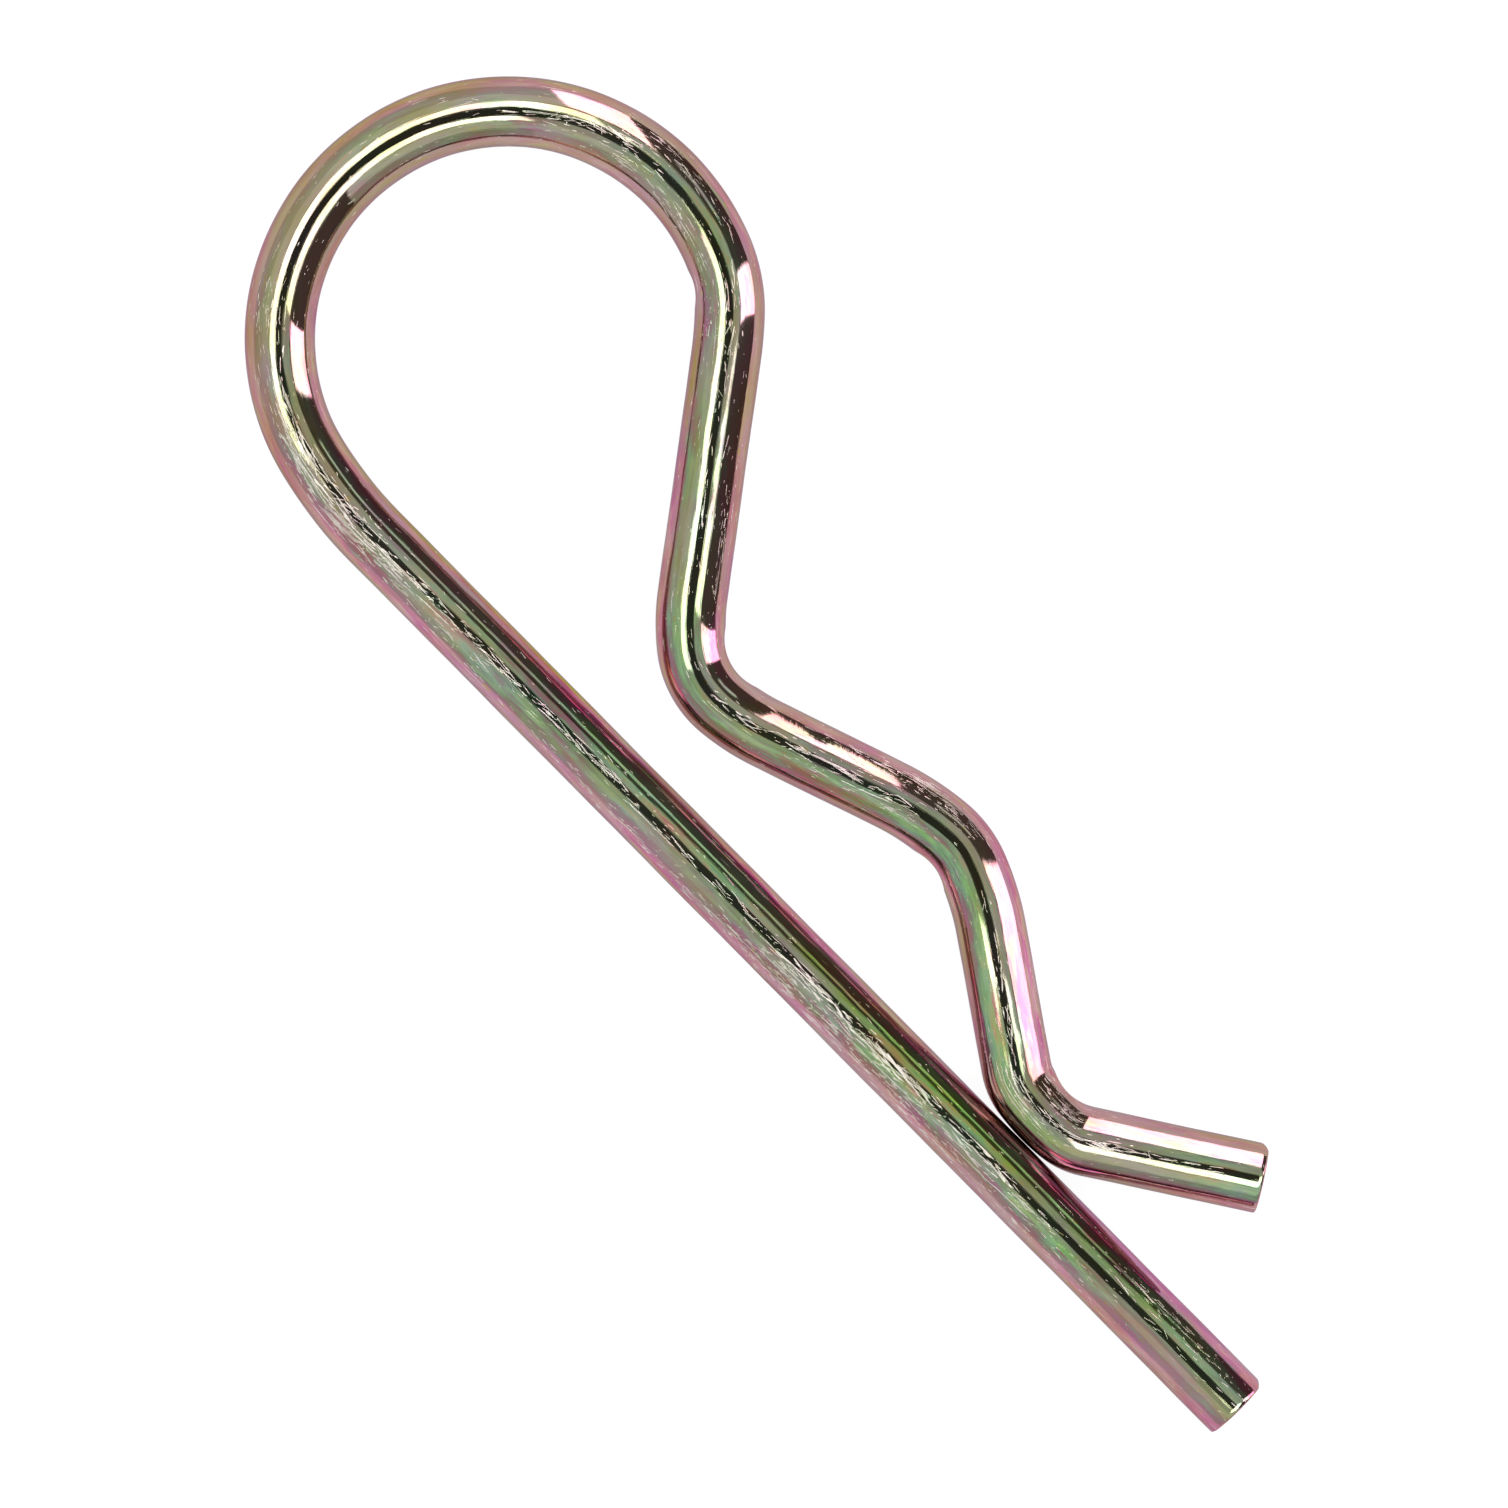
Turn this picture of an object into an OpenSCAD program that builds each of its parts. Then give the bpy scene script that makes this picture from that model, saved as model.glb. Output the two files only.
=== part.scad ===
// Hitch R clip: one length of round spring wire, bent flat and zinc plated.
// The straight leg goes through the cross hole of a hitch pin, and the arm rides over the
// pin until its seat closes on the far side. The waist keeps the leg from sliding on, the
// mouth bears on the leg, and the flare spreads the arm as the clip is pushed home.
// Origin: on the leg's centreline, beside the middle of the pin seat.
// +X points to the leg's free end, +Y from the leg to the arm, +Z square to the wire's plane.
// All lengths are in millimetres. Every bend radius is measured on the inside of the bend.

/* [Wire] */
// Diameter of the wire
wire_d = 4; // [3:0.1:5]

/* [Hitch pin] */
// Diameter of the hitch pin that the clip is made for
pin_d = 19; // [14:0.1:25]
// How far the resting seat lies inside the pin's surface, so that it grips
seat_grip = 0.2; // [0:0.05:0.5]

/* [Leg] */
// From the middle of the mouth on to the leg's free end
leg_past_mouth = 19.5; // [12:0.1:35]

/* [Eye] */
// Inside diameter of the eye
eye_d = 21.9; // [16:0.1:28]
// From the middle of the waist back to the middle of the eye
eye_behind_waist = 22.9; // [19:0.1:35]
// Radius of the wide bend that leads the leg into the eye
lead_in_r = 23; // [16:0.5:40]
// Turn of the lead-in bend
lead_in_turn = 13; // [4:0.5:25]
// Radius of the heel, the tight bend where the eye ends and the arm begins
heel_r = 6.8; // [3:0.1:7.5]
// Turn of the heel
heel_turn = 25; // [10:0.5:40]
// Radius of the wide bend that straightens the heel out into the arm
heel_out_r = 18; // [10:0.5:30]
// Turn of that bend
heel_out_turn = 6; // [3:0.5:12]

/* [Waist] */
// From the hitch pin's surface back to the middle of the waist
waist_behind_pin = 5.4; // [3.5:0.1:8.5]
// Clear gap between the leg and the arm at the waist
waist_gap = 3.3; // [2:0.1:4.5]
// Radius of the waist in its middle
waist_r = 3; // [2:0.1:4.5]
// Radius of the runs into and out of the waist
waist_run_r = 10; // [6:0.5:14]
// Turn of each of those runs
waist_run_turn = 14; // [4:0.5:17]

/* [Seat] */
// Radius of the seat in its middle
seat_r = 3.9; // [3:0.1:6]
// Radius of the runs into and out of the seat
seat_run_r = 13; // [8:0.5:18]
// Turn of each of those runs
seat_run_turn = 14; // [4:0.5:17]

/* [Mouth] */
// From the hitch pin's surface forward to the middle of the mouth
mouth_ahead_of_pin = 5.5; // [4.5:0.1:8]
// Gap that the unsprung mouth leaves to the leg, almost closed
mouth_gap = 0.03; // [0.02:0.01:1]
// Radius of the mouth in its middle, nearly flat where it bears on the leg
mouth_r = 11.5; // [6:0.5:14]
// Radius of the tight runs on either side of that flat
mouth_run_r = 1.4; // [1:0.1:4]
// Turn of each of those runs
mouth_run_turn = 28; // [20:0.5:31]
// Angle between the flare and the leg
flare_angle = 33.2; // [28:0.1:50]
// Length of the straight flare beyond the mouth's bend
flare_l = 10.1; // [4:0.1:15]

/* [Forming pin marks] */
// Depth of the mark that the forming pin leaves inside the heel, waist and seat
mark_depth = 0.12; // [0.02:0.01:0.3]
// Depth of its mark inside the mouth, the last bend to be struck
mouth_mark_depth = 0.25; // [0.02:0.01:0.4]

/* [Sheared ends] */
// Rounding of the cut wire's rim
rim_r = 0.2; // [0.05:0.05:0.5]
// Radius of the edge that the shear blade rolled over, on the arm's outer side
roll_r = 0.8; // [0.2:0.1:1.2]

/* [Hidden] */
$fn = 48;
wire_r = wire_d / 2;
plated = [0.74, 0.70, 0.56];
cut_margin = 1;
// A step of the wire begins this far beyond the one before it, and a ball that stands this much
// proud of the wire joins them. Surfaces that cross fuse cleanly, and ones that only touch don't.
step_gap = 0.05;
ball_rise = 0.01;
// The middle of a sheared edge's rounding lies this share of its radius inside both faces, so
// the rounding meets each face at a slight angle.
rounding_depth = 0.9;

// Distances along the leg from the middle of the seat.
waist_back = pin_d / 2 + waist_behind_pin;
eye_back = waist_back + eye_behind_waist;
mouth_ahead = pin_d / 2 + mouth_ahead_of_pin;
leg_reach = mouth_ahead + leg_past_mouth;

// Heights of the centreline above the leg's.
waist_y = wire_d + waist_gap;
seat_y = pin_d / 2 - seat_grip + wire_r;
mouth_y = wire_d + mouth_gap;

// A bend is [middle of its main arc, side, centreline radius, run out of it].
// side is 1 where the path from the leg's end turns right and -1 where it turns left.
// A run is a list of [centreline radius, turn] arcs that follow the main arc. Every bend but
// the eye has the same run before its main arc as after it.
function run(r, turn) = [[r + wire_r, turn]];
function bend(x, y, side, r, run) = [[x, y - side * (r + wire_r)], side, r + wire_r, run];

eye_r = eye_d / 2 + wire_r;
lead_r = lead_in_r + wire_r;
eye_run = concat(run(heel_r, heel_turn), run(heel_out_r, heel_out_turn));
eye_y = lead_r - (lead_r - eye_r) * cos(lead_in_turn);
eye = [[-eye_back, eye_y], 1, eye_r, eye_run];
waist = bend(-waist_back, waist_y, -1, waist_r, run(waist_run_r, waist_run_turn));
seat = bend(0, seat_y, 1, seat_r, run(seat_run_r, seat_run_turn));
mouth = bend(mouth_ahead, mouth_y, -1, mouth_r, run(mouth_run_r, mouth_run_turn));

// The turn still to come when arc i of a run begins, and the change of radius there.
function turn_left(run, i) = i == len(run) ? 0 : run[i][1] + turn_left(run, i + 1);
function widening(b, i) = b[3][i][0] - (i == 0 ? b[2] : b[3][i - 1][0]);
function sum(v) = v * [for (x = v) 1];

// A bend's straight touches the circle of radius tangent_r(b) about the bend's middle, and
// the bend ends at the distance past(b) beyond the point where it touches.
function tangent_r(b) =
    b[2] + sum([for (i = [0:len(b[3]) - 1]) widening(b, i) * (1 - cos(turn_left(b[3], i)))]);
function past(b) = sum([for (i = [0:len(b[3]) - 1]) widening(b, i) * sin(turn_left(b[3], i))]);

// The straight between two bends: how far it crosses over, its heading and its length.
function crossing(a, b) = a[1] * tangent_r(a) - b[1] * tangent_r(b);
function heading(a, b) =
    let (d = b[0] - a[0])
    atan2(d[1], d[0]) - asin(crossing(a, b) / norm(d));
function straight_l(a, b) =
    sqrt(pow(norm(b[0] - a[0]), 2) - pow(crossing(a, b), 2)) - past(a) - past(b);

to_waist = heading(eye, waist);
to_seat = heading(waist, seat);
to_mouth = heading(seat, mouth);

// The wire's path from the leg's free end. Each step is [length, 0, 0] for a straight, or
// [centreline radius, turn, mark depth] for an arc, whose turn is positive to the left.
function straight(l) = [[l, 0, 0]];
function arcs(run, side) = [for (arc = run) [arc[0], -side * arc[1], 0]];
function bend_steps(b, turn, mark) = concat(
    arcs(b[3], b[1]),
    [[b[2], -b[1] * (turn - 2 * turn_left(b[3], 0)), mark]],
    arcs(b[3], b[1])
);
leg_l = leg_reach + eye_back - (lead_r - eye_r) * sin(lead_in_turn);
eye_turn = 180 - to_waist - lead_in_turn - turn_left(eye_run, 0);
steps = concat(
    straight(leg_l),
    [[lead_r, -lead_in_turn, 0], [eye_r, -eye_turn, 0]],
    [[eye_run[0][0], -heel_turn, mark_depth], [eye_run[1][0], -heel_out_turn, 0]],
    straight(straight_l(eye, waist)),
    bend_steps(waist, to_seat - to_waist, mark_depth),
    straight(straight_l(waist, seat)),
    bend_steps(seat, to_seat - to_mouth, mark_depth),
    straight(straight_l(seat, mouth)),
    bend_steps(mouth, flare_angle - to_mouth, mouth_mark_depth),
    straight(flare_l)
);

// Where a step ends, as [x, y, heading], when it begins at the pose p.
function after(p, step) =
    step[1] == 0 ? p + [step[0] * cos(p[2]), step[0] * sin(p[2]), 0]
    : let (r = step[0] * sign(step[1]), end = p[2] + step[1])
      [p[0] + r * (sin(end) - sin(p[2])), p[1] - r * (cos(end) - cos(p[2])), end];
function poses(p, i = 0) =
    i == len(steps) ? [p] : concat([p], poses(after(p, steps[i]), i + 1));
path = poses([leg_reach, 0, 180]);

module at(pose) {
    translate([pose[0], pose[1], 0]) rotate([0, 0, pose[2]]) children();
}

// One step of the wire, from the origin along +X, without the length skip at its beginning.
module stretch(step, skip) {
    if (step[1] == 0)
        translate([skip, 0, 0]) rotate([0, 90, 0]) cylinder(h = step[0] - skip, r = wire_r);
    else {
        skip_turn = skip / step[0] * 180 / PI;
        start = step[1] > 0 ? -90 + skip_turn : 90 + step[1];
        translate([0, sign(step[1]) * step[0], 0]) rotate([0, 0, start])
            rotate_extrude(angle = abs(step[1]) - skip_turn)
                translate([step[0], 0]) circle(r = wire_r);
    }
}

// The ball that joins two steps.
module joint_ball() {
    rotate([0, 90, 0]) sphere(r = wire_r + ball_rise);
}

// The forming pin where it bit into the inside of an arc's middle. Its radius is that of the
// tightest bend struck over it.
module forming_pin(pose, step) {
    r = min(heel_r, waist_r, seat_r, mouth_r);
    middle = after(pose, [step[0], step[1] / 2]);
    inward = sign(step[1]) * (wire_r + r - step[2]);
    at(middle) translate([0, inward, 0]) cylinder(h = wire_d + cut_margin, r = r, center = true);
}

// What the shear took off an end of the wire that lies at the origin and points along +X:
// the rim all round, and more on the left, where the blade came down.
module shear_cut() {
    rotate([0, 90, 0]) rotate_extrude() translate([wire_r, 0]) corner(rim_r);
    linear_extrude(height = wire_d + cut_margin, center = true) translate([0, wire_r]) corner(roll_r);
}

// What a rounding of radius r takes off the square corner at the origin, and all beyond it.
module corner(r) {
    difference() {
        translate([-r * rounding_depth, -r * rounding_depth]) square(r + cut_margin);
        translate([-r * rounding_depth, -r * rounding_depth]) circle(r = r);
    }
}

// Step i of the wire with its joints. A straight carries the balls at both its ends, and an arc
// only the ball between it and an arc before it, so a ball always lies on its straight's axis.
module joined(i) {
    after_straight = i > 0 && steps[i - 1][1] == 0;
    at(path[i]) {
        stretch(steps[i], i == 0 ? 0 : step_gap);
        if (i > 0 && !after_straight) joint_ball();
        if (steps[i][1] == 0 && i < len(steps) - 1) translate([steps[i][0], 0, 0]) joint_ball();
    }
}

module clip() {
    count = len(steps);
    color(plated) difference() {
        union() for (i = [0:count - 1]) joined(i);
        for (i = [0:count - 1]) if (steps[i][2] > 0) forming_pin(path[i], steps[i]);
        at(path[0] + [0, 0, 180]) shear_cut();
        at(path[count]) shear_cut();
    }
}

clip();
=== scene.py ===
import math

import bpy
import numpy as np
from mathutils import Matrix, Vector


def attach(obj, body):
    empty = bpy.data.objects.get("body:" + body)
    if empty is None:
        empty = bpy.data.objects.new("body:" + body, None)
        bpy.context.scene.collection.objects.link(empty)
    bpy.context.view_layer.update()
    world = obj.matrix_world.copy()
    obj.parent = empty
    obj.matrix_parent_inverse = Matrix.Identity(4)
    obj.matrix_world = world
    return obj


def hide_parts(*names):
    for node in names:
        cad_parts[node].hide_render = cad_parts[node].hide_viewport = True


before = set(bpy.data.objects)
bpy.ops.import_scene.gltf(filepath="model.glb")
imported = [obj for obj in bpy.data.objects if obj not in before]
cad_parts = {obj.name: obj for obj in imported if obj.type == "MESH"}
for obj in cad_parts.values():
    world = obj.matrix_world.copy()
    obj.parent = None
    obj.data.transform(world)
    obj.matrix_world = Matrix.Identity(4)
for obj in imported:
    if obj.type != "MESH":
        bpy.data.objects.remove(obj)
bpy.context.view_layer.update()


# ---- The wire ----
# One length of 4 mm hard-drawn spring wire, bent cold round four forming pins in one plane and
# then plated. The leg runs straight, the eye is the spring, and the arm rides over a 19 mm hitch
# pin: waist, seat, mouth and flare. Lengths are in millimetres until the mesh is made.
MM = 0.001
WIRE_R = 2.0
PIN_R = 9.5
WAIST_BEHIND_PIN = 5.4
WAIST_GAP = 3.3
SEAT_GRIP = 0.2
MOUTH_AHEAD_OF_PIN = 5.5
MOUTH_GAP = 0.03
LEG_PAST_MOUTH = 19.5
EYE_BEHIND_WAIST = 22.9
EYE_R = 12.95
LEAD_R = 25.0
LEAD_TURN = 13.0
FLARE_ANGLE = 33.2
FLARE_L = 10.1

WAIST_X = -PIN_R - WAIST_BEHIND_PIN
MOUTH_X = PIN_R + MOUTH_AHEAD_OF_PIN
LEG_REACH = MOUTH_X + LEG_PAST_MOUTH
EYE_X = WAIST_X - EYE_BEHIND_WAIST
EYE_Y = LEAD_R - (LEAD_R - EYE_R) * math.cos(math.radians(LEAD_TURN))


def bend(x, apex_y, side, radius, runs):
    """A bend: its apex on the wire's centreline, the side its middle lies on (1 where the path
    from the leg's end turns right, -1 left), its centreline radius, and the radius and turn in
    degrees of each arc that eases it out."""
    return {"x": x, "y": apex_y - side * radius, "side": side, "r": radius, "runs": runs}


eye = bend(EYE_X, EYE_Y + EYE_R, 1, EYE_R, [(8.8, 25.0), (20.0, 6.0)])
waist = bend(WAIST_X, 2 * WIRE_R + WAIST_GAP, -1, 5.0, [(12.0, 14.0)])
seat = bend(0.0, PIN_R - SEAT_GRIP + WIRE_R, 1, 5.9, [(15.0, 14.0)])
mouth = bend(MOUTH_X, 2 * WIRE_R + MOUTH_GAP, -1, 13.5, [(3.4, 28.0)])


def turn_left(b, i=0):
    """The turn that a bend's runs still have to make when run i begins."""
    return sum(turn for _, turn in b["runs"][i:])


def reach(b):
    """How far a bend's straight passes from its middle, and how far past that point it starts."""
    radii = [b["r"]] + [r for r, _ in b["runs"]]
    turns = [math.radians(turn_left(b, i)) for i in range(len(b["runs"]))]
    steps = [(radii[i + 1] - radii[i], turn) for i, turn in enumerate(turns)]
    across = b["r"] + sum(d * (1 - math.cos(turn)) for d, turn in steps)
    return across, sum(d * math.sin(turn) for d, turn in steps)


def straight(a, b):
    """The heading and the length of the straight between two bends."""
    dx, dy = b["x"] - a["x"], b["y"] - a["y"]
    apart = math.hypot(dx, dy)
    (across_a, past_a), (across_b, past_b) = reach(a), reach(b)
    cross = a["side"] * across_a - b["side"] * across_b
    heading = math.atan2(dy, dx) - math.asin(cross / apart)
    return math.degrees(heading), math.sqrt(apart ** 2 - cross ** 2) - past_a - past_b


def turned(b, whole_turn, mark):
    """A bend's steps: its runs, its main arc with the mark of its forming pin, its runs again."""
    runs = [(r, -b["side"] * turn, 0.0) for r, turn in b["runs"]]
    middle = whole_turn - 2 * turn_left(b)
    return runs + [(b["r"], -b["side"] * middle, mark)] + runs


# Depth of the mark that the forming pin left inside each bend, and the pin's radius.
MARK = 0.12
MOUTH_MARK = 0.25
FORMING_PIN_R = 3.0

to_waist, arm_1 = straight(eye, waist)
to_seat, arm_2 = straight(waist, seat)
to_mouth, arm_3 = straight(seat, mouth)
leg_l = LEG_REACH - EYE_X - (LEAD_R - EYE_R) * math.sin(math.radians(LEAD_TURN))
eye_turn = 180 - to_waist - LEAD_TURN - turn_left(eye)
(heel_r, heel_turn), (heel_out_r, heel_out_turn) = eye["runs"]
# Each step is (length, 0, 0) for a straight or (radius, turn in degrees, mark) for an arc.
steps = [(leg_l, 0.0, 0.0), (LEAD_R, -LEAD_TURN, 0.0), (EYE_R, -eye_turn, 0.0)]
steps += [(heel_r, -heel_turn, MARK), (heel_out_r, -heel_out_turn, 0.0), (arm_1, 0.0, 0.0)]
steps += turned(waist, to_seat - to_waist, MARK) + [(arm_2, 0.0, 0.0)]
steps += turned(seat, to_seat - to_mouth, MARK) + [(arm_3, 0.0, 0.0)]
steps += turned(mouth, FLARE_ANGLE - to_mouth, MOUTH_MARK) + [(FLARE_L, 0.0, 0.0)]

RING_GAP = 0.25
SIDES = 72
rings = []
pin_marks = []
x, y, heading, along = LEG_REACH, 0.0, math.pi, 0.0
for size, turn, mark in steps:
    length = size if turn == 0 else size * abs(math.radians(turn))
    pieces = max(2, math.ceil(length / RING_GAP))
    for i in range(pieces + 1):
        t = i / pieces
        if turn == 0:
            px, py, ph = x + t * size * math.cos(heading), y + t * size * math.sin(heading), heading
        else:
            r = math.copysign(size, turn)
            ph = heading + t * math.radians(turn)
            px = x + r * (math.sin(ph) - math.sin(heading))
            py = y - r * (math.cos(ph) - math.cos(heading))
        if mark and abs(t - 0.5) < 0.5 / pieces:
            inward = math.copysign(WIRE_R + FORMING_PIN_R - mark, turn)
            pin_marks.append((px - inward * math.sin(ph), py + inward * math.cos(ph)))
        if i > 0 or not rings:
            rings.append((px, py, ph, along + t * length))
    x, y, heading, along = px, py, ph, along + length
WIRE_L = along

# The sheared ends: a rim rounded all the way round, and more on the side where the blade came
# down, the left of the way that each end points.
RIM_R = 0.2
ROLL_R = 0.8
ROLL_DEPTH = 0.9
# How far from each end the rolled edge fades out, and the share of the wire's radius of each ring
# of an end's face.
END_L = 1.5
CAP_RINGS = (0.99, 0.975, 0.955, 0.93, 0.9, 0.8, 0.6, 0.4, 0.2)


def rounded(edge, r):
    """How far a face draws back at a place that lies this far inside the edge of the wire."""
    over = r * ROLL_DEPTH - edge
    return max(0.0, r * ROLL_DEPTH - math.sqrt(max(0.0, r * r - over * over))) if over > 0 else 0.0


# Swells along the wire: height in millimetres, radians to a millimetre, and how many times round.
SWELLS = ((0.006, 0.47, 2), (0.005, 0.91, -1), (0.0015, 2.3, 3))


def swollen(along, angle):
    """The wire's radius where the drawing and the bending left it a hair thick or thin."""
    return WIRE_R + sum(h * math.sin(along * pace + times * angle) for h, pace, times in SWELLS)


def section(px, py, ph, along, share=1.0, outward=0):
    """One ring of the wire's surface, with each point's place along and across the straight wire.
    outward is -1 at the leg's free end, 1 at the flare's and 0 between them."""
    points, drawn = [], []
    for k in range(SIDES):
        angle = 2 * math.pi * k / SIDES - math.pi / 2
        radius = swollen(along, angle) * share
        left, up = radius * math.cos(angle), radius * math.sin(angle)
        forward = 0.0
        if outward:
            from_end = along if outward < 0 else WIRE_L - along
            fade = max(0.0, 1 - from_end / END_L)
            rim = rounded(WIRE_R * (1 - share), RIM_R)
            roll = rounded(WIRE_R - outward * left, ROLL_R)
            forward = -outward * fade * max(rim, roll)
        cx, cy = px + forward * math.cos(ph), py + forward * math.sin(ph)
        points.append((cx - left * math.sin(ph), cy + left * math.cos(ph), up))
        drawn.append((along + forward, left, up))
    return points, drawn


def struck(point):
    """A point of the surface, pushed out of the forming pins that bit into the wire."""
    px, py, pz = point
    for mx, my in pin_marks:
        far = math.hypot(px - mx, py - my)
        if far < FORMING_PIN_R:
            px, py = mx + (px - mx) * FORMING_PIN_R / far, my + (py - my) * FORMING_PIN_R / far
    return px, py, pz


vertices, drawn_at = [], []
first, last = rings[0], rings[-1]
sections = [section(*first, share=s, outward=-1) for s in reversed(CAP_RINGS)]
for ring in rings:
    near_end = -1 if ring[3] < END_L else 1 if ring[3] > WIRE_L - END_L else 0
    sections.append(section(*ring, outward=near_end))
sections += [section(*last, share=s, outward=1) for s in CAP_RINGS]
for points, drawn in sections:
    vertices += [struck(p) for p in points]
    drawn_at += drawn
faces = []
for j in range(len(sections) - 1):
    for k in range(SIDES):
        a, b = j * SIDES + k, j * SIDES + (k + 1) % SIDES
        faces.append((a, a + SIDES, b + SIDES, b))
for (px, py, ph, along), start in ((first, 0), (last, (len(sections) - 1) * SIDES)):
    middle = len(vertices)
    vertices.append((px, py, 0.0))
    drawn_at.append((along, 0.0, 0.0))
    for k in range(SIDES):
        a, b = start + k, start + (k + 1) % SIDES
        faces.append((middle, a, b) if start == 0 else (middle, b, a))

wire_mesh = bpy.data.meshes.new("bent_wire")
wire_mesh.from_pydata([tuple(c * MM for c in v) for v in vertices], [], faces)
# Where each point lies on the wire before it is bent: millimetres along it and across it.
drawn_at = np.array(drawn_at)
wire_mesh.attributes.new("drawn_wire", "FLOAT_VECTOR", "POINT").data.foreach_set(
    "vector", drawn_at.astype(np.float32).ravel())


def spread(places):
    """The sum at each point of places on the wire: the middle and reach along it in millimetres,
    the middle and reach round it in degrees outwards from the top, and then values. The clip's
    two flat sides are alike, so a place on the top is on the underside too."""
    round_it = np.degrees(np.arctan2(drawn_at[:, 1], np.abs(drawn_at[:, 2])))
    total = 0
    for at, reach_along, angle, reach_round, *values in places:
        share = np.exp(-((drawn_at[:, 0] - at) / reach_along) ** 2
                       - ((round_it - angle) / reach_round) ** 2)
        total = total + share[:, None] * np.array(values)
    return total.astype(np.float32)


# How hard the surface was rubbed along the wire, and across it: where the pin's hole rubs the leg,
# along the crown that the clip slides on, where each bend lay against its tools, and where the arm
# rides over the pin. Below 0 it is sheltered, as the seat's two flat sides are.
rubbed = spread([
    (27, 11, 5, 12, 1.0, 0), (27, 12, 30, 20, 0.8, 0), (58, 20, 3, 9, 0.8, 0),
    (6, 6, -28, 14, 0.6, 0), (70, 9, 25, 18, 0.7, 0), (76, 8, 5, 14, 0.7, 0),
    (107, 4, 0, 15, 0.9, 0), (112, 6, 38, 14, 0.5, 0), (114, 9, -32, 20, 0.7, 0),
    (24, 16, 55, 14, 0.6, 0), (47, 14, 46, 16, 0.6, 0),
    (128, 7, 0, 8, 0.4, 0), (136, 6, 40, 12, 0.5, 0), (150, 5, 46, 12, 0.3, 1.0),
    (157, 4, 40, 22, 1.0, 0.3), (149, 10, 0, 9, 0.8, 0), (154, 6, -20, 8, 0.6, 0),
    (171, 9, -2, 10, 0.8, 0), (175, 4, -24, 14, 0.6, 0), (177, 3, 38, 20, 0.7, 0),
    (183, 5, 0, 9, 0.5, 0), (160.5, 2.5, 0, 12, -1.6, 0),
])
wire_mesh.attributes.new("wear", "FLOAT_VECTOR", "POINT").data.foreach_set(
    "vector", np.pad(rubbed, ((0, 0), (0, 1))).ravel())

# How the chromate differs from place to place: how much thicker than the rest it came out, how much
# more strongly it shows its colours, and how yellow it is. The yellower film on the inner flank of
# the
# eye, about 92 mm along, is painted shade: it darkens the plating inside the loop.
film_and_painted_shade = spread([
    (98, 22, 0, 90, 0.0, -0.45, 0.05), (92, 16, 50, 18, -0.01, -0.5, 0.5),
    (40, 20, -60, 14, -0.02, 0.9, -0.4), (60, 14, -74, 9, -0.07, 0.4, 1.3),
    (24, 22, 54, 14, 0.0, -0.5, -0.3), (57, 14, 60, 14, 0.0, 0.3, -0.6),
    # The first place on the next line, on the inner flank of the eye, is painted shade: its
    # yellower film darkens the plating inside the loop.
    (92, 7, -60, 16, 0.0, -0.3, 0.5), (79, 6, -62, 12, 0.0, 0.3, -0.3),
    (112, 9, -58, 14, 0.0, -0.7, -0.2), (169, 6, 58, 10, 0.0, 1.2, -0.7),
    (48, 20, -18, 12, 0.0, 0.4, 0.2), (10, 10, -66, 14, 0.0, 0.6, -0.9),
    (133, 8, -25, 12, 0.0, -0.5, 0.3), (128, 12, 56, 12, 0.0, -0.1, 0.2),
    (34, 12, -26, 14, 0.0, 0.2, 0.5), (152, 8, 64, 14, 0.0, -0.8, 0.1),
    (184, 6, 64, 12, 0.0, -0.5, 0.0),
    (19, 12, -22, 16, 0.02, 0.3, 1.0), (12, 3, 20, 10, 0.0, 0.9, 0.6),
    (156, 22, -24, 18, 0.0, 0.5, 0.5), (126, 3, -58, 9, 0.02, 0.0, 1.2),
    (169, 8, 42, 12, 0.0, -0.7, 0.0), (120, 3, 42, 12, 0.0, -0.6, 0.0),
    (185, 7, 42, 12, 0.0, -0.7, 0.0), (165, 18, 75, 16, -0.01, 0.5, -0.2),
])
wire_mesh.attributes.new("film_and_painted_shade", "FLOAT_VECTOR", "POINT").data.foreach_set("vector", film_and_painted_shade.ravel())
wire_mesh.update()
wire_mesh.shade_smooth()
wire = bpy.data.objects.new("bent_wire", wire_mesh)
bpy.context.collection.objects.link(wire)


def colour(code):
    """An sRGB hex colour as linear RGBA."""
    parts = [int(code[i:i + 2], 16) / 255 for i in (1, 3, 5)]
    linear = [c / 12.92 if c <= 0.04045 else ((c + 0.055) / 1.055) ** 2.4 for c in parts]
    return (*linear, 1.0)


def add(tree, kind, inputs=(), **settings):
    """Adds a node with its settings. Each input is a value, or the node or socket it comes from."""
    node = tree.nodes.new("ShaderNode" + kind)
    for name, value in settings.items():
        setattr(node, name, value)
    for name, value in inputs.items() if isinstance(inputs, dict) else enumerate(inputs):
        if isinstance(value, bpy.types.Node):
            value = next(socket for socket in value.outputs if socket.enabled)
        if isinstance(value, bpy.types.NodeSocket):
            tree.links.new(value, node.inputs[name])
        else:
            node.inputs[name].default_value = value
    return node


# Yellow chromate over bright zinc on drawn steel wire. The zinc is a mirror that keeps the draw
# lines and knocks of the wire below. The chromate is a clear film about half a micrometre thick,
# and the light it returns off both of its faces interferes: it goes from yellow-green where the
# eye looks straight in, through grey and rose, to a mauve edge. FILM_MEAN is what it gives back of
# the three waves on average, FILM_SWING is how far the fringes take that up and down, and EDGE_TINT
# is what is left of the light at a grazing angle, where it crosses the most chromate.
FILM_NM = 556.0
FILM_IOR = 1.44
WAVES_NM = (610.0, 545.0, 405.0)
FILM_MEAN = (0.40, 0.30, 0.255)
FILM_SWING = (0.078, 0.090, 0.012)
FILM_YELLOW = (0.85, 0.95, 0.50)
ZINC = "#E4E1D6"
GOLD = "#A8934E"
EDGE_TINT = "#C4B4C8"

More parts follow.
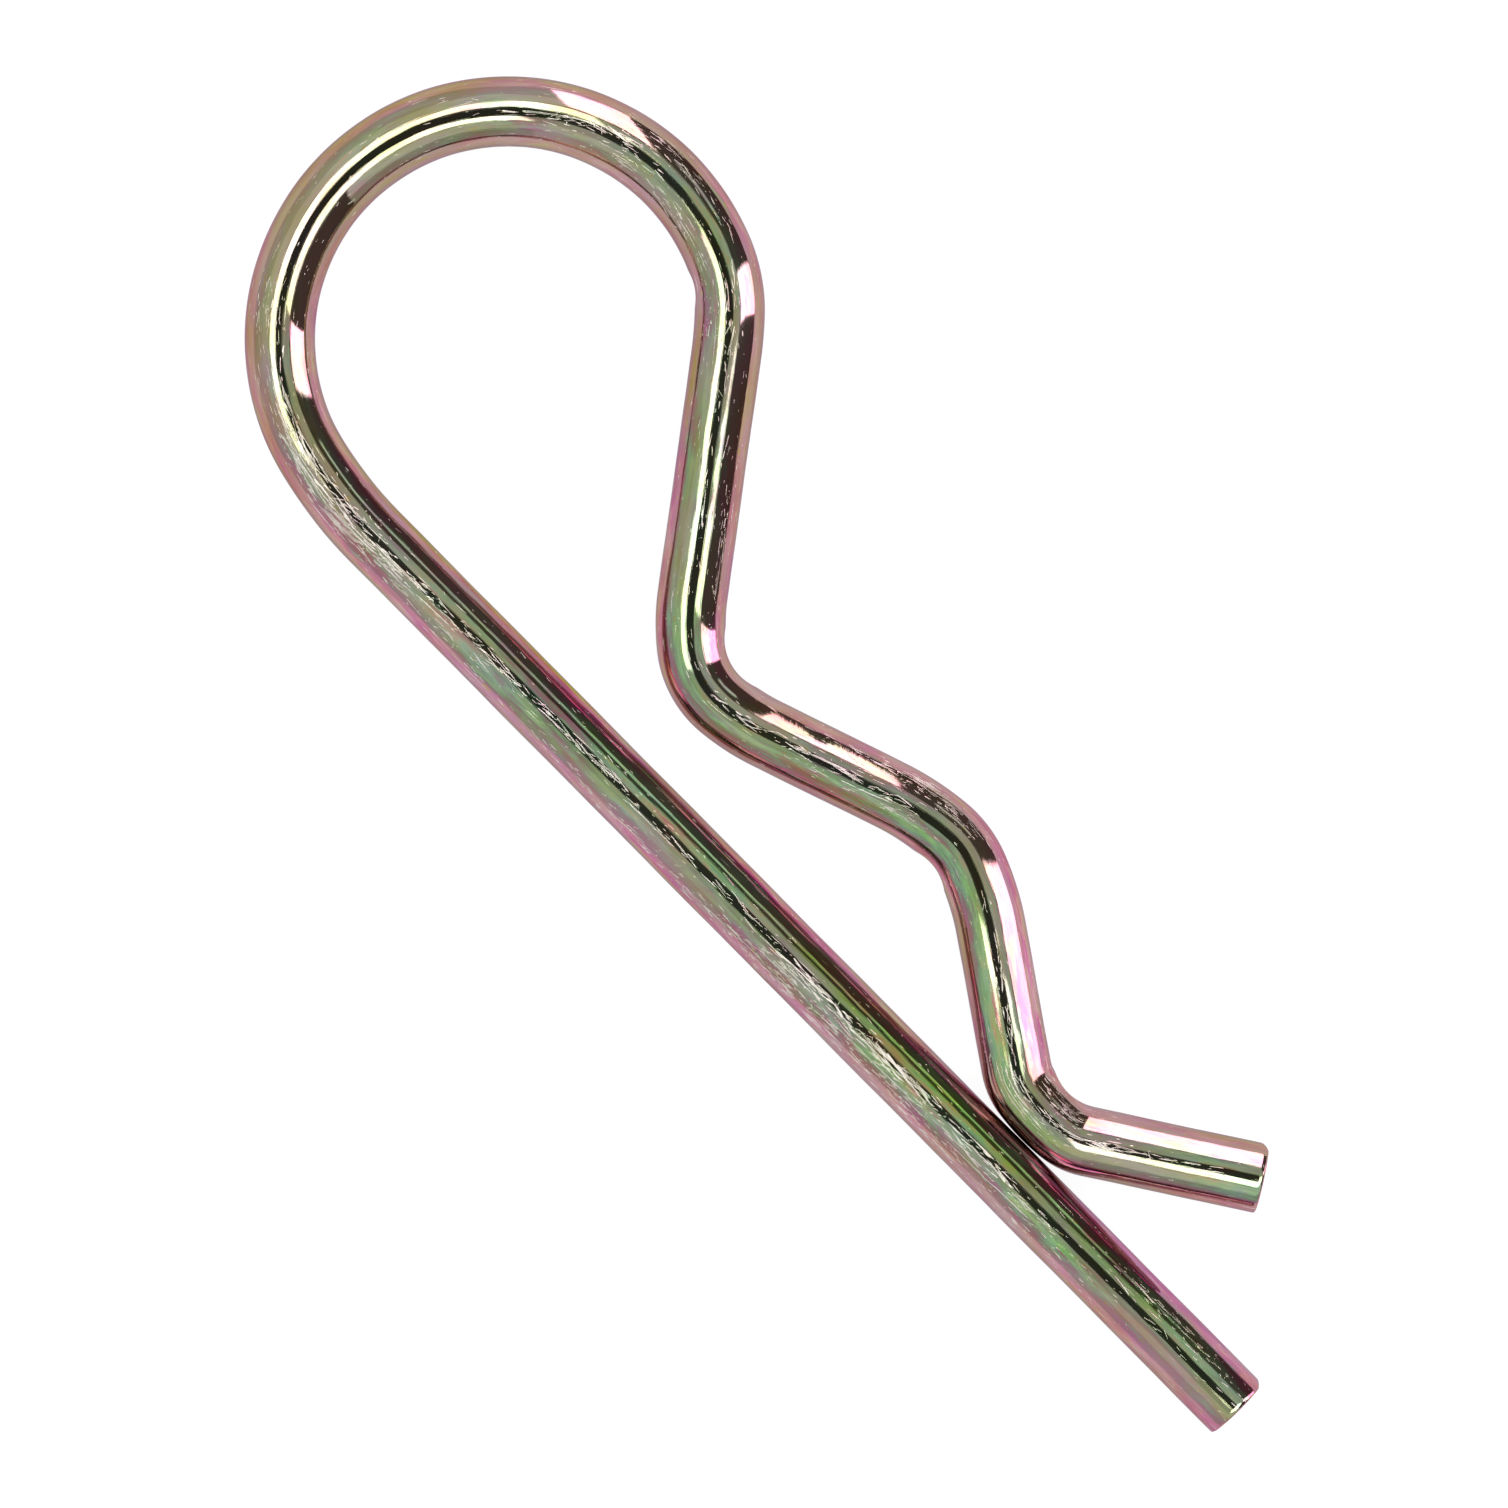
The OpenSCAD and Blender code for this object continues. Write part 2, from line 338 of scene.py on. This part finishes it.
# The patterns in the finish: the size of a cell along the wire and across it in millimetres, its
# turn across the wire in degrees, its shift, its detail and the roughness of that detail. The draw
# lines and the knocks are finer on the real wire, and are drawn this coarse to show.
PATTERNS = {
    "draw_lines": (9.0, 0.11, 0, 3, 3, 0.6),
    "swell": (3.2, 1.3, 0, 57, 1, 0.5),
    "dents": (0.9, 0.35, 0, 19, 2, 0.5),
    "patches": (7.0, 2.4, 0, 83, 3, 0.5),
    "thick": (9.0, 1.8, 0, 5, 2, 0.5),
    "drained": (2.4, 0.55, 0, 23, 3, 0.6),
    "flecked": (1.3, 0.16, 0, 9, 2, 0.6),
    "yellow": (4.5, 1.0, 0, 61, 3, 0.6),
    "chatter": (0.16, 0.6, 12, 29, 2, 0.6),
    "depth": (2.0, 0.5, 0, 77, 1, 0.5),
    "strong": (7.0, 1.5, 0, 44, 2, 0.5),
    "spots": (0.8, 0.35, 0, 15, 2, 0.5),
    "polish": (3.0, 0.8, 0, 66, 2, 0.5),
    "short_nicks": (0.9, 0.10, 3, 31, 1, 0.5),
    "nicks": (1.7, 0.12, -7, 47, 1, 0.5),
    "long_nicks": (3.2, 0.13, 2, 91, 1, 0.5),
    "crossing_nicks": (1.1, 0.10, 14, 37, 1, 0.5),
    "scratches": (2.6, 0.12, -24, 57, 1, 0.5),
    "more_scratches": (2.2, 0.12, 41, 71, 1, 0.5),
    "steep_scratches": (1.6, 0.10, -62, 12, 1, 0.5),
}
# The patterns that cut through the film: the least noise that shows where nothing rubs, and how
# far rubbing brings that down.
CUTS = {
    "short_nicks": (0.76, 0.15), "nicks": (0.76, 0.15), "long_nicks": (0.76, 0.15),
    "crossing_nicks": (0.78, 0.13), "scratches": (0.80, 0.08), "more_scratches": (0.81, 0.08),
    "steep_scratches": (0.82, 0.08),
}
CUT_EDGE = 0.035
# How noise becomes a level: the least and the most noise that count, and the levels there.
LEVELS = {
    "patches": (0.50, 0.72, 0.0, 0.45), "depth": (0.3, 0.6, 0.45, 1.0),
    "strong": (0.35, 0.65, 0.5, 1.7), "yellow": (0.38, 0.68, -0.2, 0.75),
    "spots": (0.67, 0.73, 0.0, 0.6),
}
# One unit of relief, and how many each pattern, the chatter and a cut are worth.
RELIEF = 0.012 * MM
RELIEF_UNITS = {"draw_lines": 0.30, "swell": 1.6, "dents": 0.12}
CHATTER_UNITS = 0.20
CUT_UNITS = -0.8
# The film's thickness as a share of FILM_NM, before and from each pattern.
FILM_LEAST = 0.58
FILM_SHARES = {"thick": 0.34, "drained": 0.28, "flecked": 0.22}
# How much of a cut is bare, and how rough the finish is at its smoothest and from each cause.
CUT_BARE = 0.80
ROUGH = 0.02
ROUGH_POLISH = 0.05
ROUGH_WORN = 0.03
ROUGH_CUT = 0.30
# The sockets at which the Mix node takes a pair of vectors and a pair of colours.
VECTORS = (4, 5)
COLOURS = (6, 7)
# The way that a pattern is shifted, along the wire, across it and up, so that none line up.
SHIFT_WAY = (1.0, 0.37, 0.71)


def chromate_on_zinc():
    material = bpy.data.materials.new("yellow_chromate_on_zinc")
    material.use_nodes = True
    tree = material.node_tree
    tree.nodes.clear()
    place = add(tree, "Attribute", attribute_name="drawn_wire").outputs["Vector"]
    wear = add(tree, "Attribute", attribute_name="wear").outputs["Vector"]
    wear = add(tree, "SeparateXYZ", [wear])
    film_and_painted_shade = add(tree, "Attribute", attribute_name="film_and_painted_shade").outputs["Vector"]
    film_and_painted_shade = add(tree, "SeparateXYZ", [film_and_painted_shade])
    noise = {}
    for name, (along, across, turn, shift, detail, rough) in PATTERNS.items():
        mapped = add(tree, "Mapping", {
            "Vector": place, "Location": tuple(shift * way for way in SHIFT_WAY),
            "Rotation": (0, 0, math.radians(turn)), "Scale": (along, across, across),
        }, vector_type="TEXTURE")
        noise[name] = add(tree, "TexNoise", {
            "Vector": mapped, "Scale": 1.0, "Detail": detail, "Roughness": rough})

    # The rubbing in patches, and the nicks and scratches that it leaves.
    patchy = add(tree, "MapRange", [noise["patches"], *LEVELS["patches"]])
    worn = add(tree, "Math", [wear.outputs["X"], patchy], operation="ADD", use_clamp=True)
    cuts = 0.0
    for name, (least, brought_down) in CUTS.items():
        edge = add(tree, "Math", [worn, -brought_down, least], operation="MULTIPLY_ADD")
        past = add(tree, "Math", [noise[name], edge], operation="SUBTRACT")
        cut = add(tree, "Math", [past, CUT_EDGE], operation="DIVIDE", use_clamp=True)
        cuts = add(tree, "Math", [cut, cuts], operation="MAXIMUM")
    depth = add(tree, "MapRange", [noise["depth"], *LEVELS["depth"]])
    cuts = add(tree, "Math", [cuts, depth], operation="MULTIPLY")

    relief = 0.0
    for name, units in RELIEF_UNITS.items():
        relief = add(tree, "Math", [noise[name], units, relief], operation="MULTIPLY_ADD")
    relief = add(tree, "Math", [cuts, CUT_UNITS, relief], operation="MULTIPLY_ADD")
    chatter = add(tree, "Math", [noise["chatter"], wear.outputs["Y"]], operation="MULTIPLY")
    relief = add(tree, "Math", [chatter, CHATTER_UNITS, relief], operation="MULTIPLY_ADD")
    bump = add(tree, "Bump", {"Strength": 1.0, "Distance": RELIEF, "Height": relief})

    # The film's thickness and the light's path in it, as shares of FILM_NM. The path is longest
    # where the eye looks straight in.
    thick = FILM_LEAST
    for name, share in FILM_SHARES.items():
        thick = add(tree, "Math", [noise[name], share, thick], operation="MULTIPLY_ADD")
    thick = add(tree, "Math", [thick, film_and_painted_shade.outputs["X"]], operation="ADD")
    facing = add(tree, "LayerWeight", {"Blend": 0.5, "Normal": bump}).outputs["Facing"]
    cosine = add(tree, "Math", [1.0, facing], operation="SUBTRACT")
    sine_2 = add(tree, "Math", [cosine, cosine], operation="MULTIPLY")
    sine_2 = add(tree, "Math", [1.0, sine_2], operation="SUBTRACT")
    inside = add(tree, "Math", [sine_2, -1 / FILM_IOR ** 2, 1.0], operation="MULTIPLY_ADD")
    inside = add(tree, "Math", [inside], operation="SQRT")
    path = add(tree, "Math", [thick, inside], operation="MULTIPLY")
    turns = tuple(2 * math.pi * 2 * FILM_IOR * FILM_NM / nm for nm in WAVES_NM)
    fringe = add(tree, "VectorMath", {0: turns, "Scale": path}, operation="SCALE")
    fringe = add(tree, "VectorMath", [fringe], operation="COSINE")

    # How strongly the fringes show, and the yellow of the film itself. On the eye's inner flank
    # that yellow also carries painted shade, which darkens the plating there.
    strong = add(tree, "MapRange", [noise["strong"], *LEVELS["strong"]])
    strong = add(tree, "Math", [strong, film_and_painted_shade.outputs["Y"]], operation="ADD")
    swing = add(tree, "VectorMath", {0: FILM_SWING, "Scale": strong}, operation="SCALE")
    shine = add(tree, "VectorMath", [fringe, swing, FILM_MEAN], operation="MULTIPLY_ADD")
    yellow = add(tree, "MapRange", [noise["yellow"], *LEVELS["yellow"]])
    yellow = add(tree, "Math", [yellow, film_and_painted_shade.outputs["Z"]], operation="ADD")
    clear, full = VECTORS
    yellow = add(tree, "Mix", {0: yellow, clear: (1.0, 1.0, 1.0), full: FILM_YELLOW},
                 data_type="VECTOR", clamp_factor=False)
    shine = add(tree, "VectorMath", [shine, yellow], operation="MULTIPLY")

    # Golden spots where the film dried thick, and bare zinc in the cuts.
    spots = add(tree, "MapRange", [noise["spots"], *LEVELS["spots"]])
    under, over = COLOURS
    shine = add(tree, "Mix", {0: spots, under: shine, over: colour(GOLD)}, data_type="RGBA")
    bare = add(tree, "Math", [cuts, CUT_BARE], operation="MULTIPLY")
    shine = add(tree, "Mix", {0: bare, under: shine, over: colour(ZINC)}, data_type="RGBA")
    rough = ROUGH
    for part, share in ((noise["polish"], ROUGH_POLISH), (worn, ROUGH_WORN), (cuts, ROUGH_CUT)):
        rough = add(tree, "Math", [part, share, rough], operation="MULTIPLY_ADD")
    shader = add(tree, "BsdfPrincipled", {
        "Metallic": 1.0, "Base Color": shine, "Specular Tint": colour(EDGE_TINT),
        "Roughness": rough, "Normal": bump})
    add(tree, "OutputMaterial", {"Surface": shader})
    return material


wire_mesh.materials.append(chromate_on_zinc())
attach(wire, "root")
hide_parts("clip")


# ---- The table ----
# A plain white sheet that the clip lies on. To the eye and in the plating it is white, and it
# keeps the clip's faint shadow.
FLOOR_Z = -WIRE_R * MM
FLOOR_SIZE = 20.0
PAPER = "#F0F0F0"
# How brightly the sheet glows, and how much of it is glow in the plating and to the eye.
GLOW = 1.08
GLOW_IN_PLATING = 0.6
GLOW_TO_EYE = 0.85


def shown(tree):
    """1 for rays that show a thing, to the eye, in metal or through glass, and 0 for the rest."""
    rays = add(tree, "LightPath").outputs
    seen = add(tree, "Math", [rays["Is Camera Ray"], rays["Is Glossy Ray"]], operation="MAXIMUM")
    return add(tree, "Math", [seen, rays["Is Transmission Ray"]], operation="MAXIMUM")


bpy.ops.mesh.primitive_plane_add(size=FLOOR_SIZE, location=(0, 0, FLOOR_Z))
table = bpy.context.object
table.name = "table"
sheet = bpy.data.materials.new("white_sheet")
sheet.use_nodes = True
tree = sheet.node_tree
tree.nodes.clear()
paper = add(tree, "BsdfDiffuse", {"Color": colour(PAPER)})
white = add(tree, "Emission", {"Color": colour("#FFFFFF"), "Strength": GLOW})
to_eye = add(tree, "LightPath").outputs["Is Camera Ray"]
share = add(tree, "MapRange", [to_eye, 0, 1, GLOW_IN_PLATING, GLOW_TO_EYE])
share = add(tree, "Math", [shown(tree), share], operation="MULTIPLY")
add(tree, "OutputMaterial", {"Surface": add(tree, "MixShader", [share, paper, white])})
table.data.materials.append(sheet)


# ---- The camera ----
# It looks straight down on the clip from 45 cm up, turned so that the leg runs to the lower right
# corner. AIM is the point below it, and its frame is a square, 86 mm wide there.
VIEW_TURN = math.radians(45.3)
AIM = Vector((-11.21, 6.63, 0.0)) * MM
CAMERA_UP = 0.45
FRAME_W = 85.68 * MM
SENSOR = 36.0
camera_data = bpy.data.cameras.new("camera")
camera_data.sensor_width = SENSOR
camera_data.lens = SENSOR * CAMERA_UP / FRAME_W
camera_data.clip_start = 0.01
camera_data.clip_end = 100.0
camera = bpy.data.objects.new("camera", camera_data)
camera.location = AIM + Vector((0, 0, CAMERA_UP))
camera.rotation_euler = (0, 0, VIEW_TURN)
bpy.context.collection.objects.link(camera)
bpy.context.scene.camera = camera


# ---- The light ----
# A white room with a black curtain on its right, two tall softboxes in front of the curtain, and
# overhead a broad ring lamp in two arcs, with the camera and its arms dark in the middle.
def toward(azimuth, polar):
    """The direction at an angle round the picture, from its right side, and down from overhead."""
    a, p = math.radians(azimuth) + VIEW_TURN, math.radians(polar)
    return Vector((math.sin(p) * math.cos(a), math.sin(p) * math.sin(a), math.cos(p)))


def lit(obj, level, tint="#FFFFFF"):
    """Gives a part of the studio its glow, and hides it from the eye but not from the plating."""
    glow = bpy.data.materials.new(obj.name)
    glow.use_nodes = True
    glow.node_tree.nodes.clear()
    light = add(glow.node_tree, "Emission", {"Color": colour(tint), "Strength": level})
    add(glow.node_tree, "OutputMaterial", {"Surface": light})
    obj.data.materials.append(glow)
    obj.visible_camera = False


def screen(name, azimuths, polars, far, level, tint="#FFFFFF", lean=(0.0, 0.0)):
    """Part of a ball round the clip, between two angles each way, that glows at this level. The
    ball's radius is far, and lean turns the upper ends of its two sides."""
    across, down = 24, 12
    points = []
    for i in range(across + 1):
        for j in range(down + 1):
            leans = [azimuths[k] + lean[k] * (1 - j / down) for k in (0, 1)]
            azimuth = leans[0] + (leans[1] - leans[0]) * i / across
            polar = polars[0] + (polars[1] - polars[0]) * j / down
            points.append(tuple(AIM + toward(azimuth, polar) * far))
    corners = [i * (down + 1) + j for i in range(across) for j in range(down)]
    mesh = bpy.data.meshes.new(name)
    mesh.from_pydata(points, [], [(k, k + 1, k + down + 2, k + down + 1) for k in corners])
    obj = bpy.data.objects.new(name, mesh)
    bpy.context.collection.objects.link(obj)
    lit(obj, level, tint)


SOFTBOX_LEVEL = 5.2
SOFTBOX_TINT = "#FFD3EE"
screen("softbox_right", (3, 20.8), (37, 89), 0.90, SOFTBOX_LEVEL, SOFTBOX_TINT)
screen("softbox_top", (65, 83.5), (37, 89), 0.90, SOFTBOX_LEVEL, SOFTBOX_TINT, lean=(-5, -3))
RING_LEVEL = 4.3
screen("ring_lamp_low", (-103, 1.5), (13.6, 31.2), 1.00, RING_LEVEL)
screen("ring_lamp_high", (75, 198), (13.6, 31.2), 1.00, RING_LEVEL)
screen("ceiling", (0, 360), (0.0, 34.5), 1.05, 0.70)
screen("black_curtain", (-40, 81), (34.5, 91), 1.10, 0.12, "#FFE6DE")
screen("curtain_slit", (36, 52), (47, 54), 1.08, 1.0)
screen("pale_wall_left", (165, 232), (34.5, 56), 1.20, 0.87)
screen("grey_wall_left", (81, 260), (56, 91), 1.20, 0.78)
screen("grey_wall_right", (-100, -40), (60, 91), 1.20, 0.6)

# A soft lamp for the table alone, which neither the eye nor the plating sees.
LAMP_SIZE = 0.8
LAMP_WATTS = 0.4
LAMP_UP = 0.9
room_data = bpy.data.lights.new("room_lamp", "AREA")
room_data.shape = "DISK"
room_data.size = LAMP_SIZE
room_data.energy = LAMP_WATTS
room_lamp = bpy.data.objects.new("room_lamp", room_data)
room_lamp.location = AIM + Vector((0, 0, LAMP_UP))
room_lamp.visible_camera = False
room_lamp.visible_glossy = False
bpy.context.collection.objects.link(room_lamp)

# The dark hood round the camera, which looks through the ring lamp, a little off its middle.
HOOD_UP = 0.95
HOOD_AZIMUTH = -135
HOOD_POLAR = 3
HOOD_HALF_ANGLE = 13.5
HOOD_LEVEL = 0.05
bpy.ops.mesh.primitive_circle_add(
    vertices=64, radius=HOOD_UP * math.tan(math.radians(HOOD_HALF_ANGLE)), fill_type="NGON",
    location=AIM + toward(HOOD_AZIMUTH, HOOD_POLAR) * HOOD_UP)
hood = bpy.context.object
hood.name = "camera_hood"
lit(hood, HOOD_LEVEL)

# The white room, at the level of white to the eye and in the plating, and a little less to light
# the clip and the table by.
ROOM_LIGHT = 0.8
world = bpy.data.worlds.new("studio")
bpy.context.scene.world = world
world.use_nodes = True
tree = world.node_tree
tree.nodes.clear()
level = add(tree, "MapRange", {"Value": shown(tree), "To Min": ROOM_LIGHT, "To Max": 1.0})
studio = add(tree, "Background", {"Color": colour("#FFFFFF"), "Strength": level})
add(tree, "OutputWorld", {"Surface": studio})

bpy.context.scene.view_settings.view_transform = "Standard"
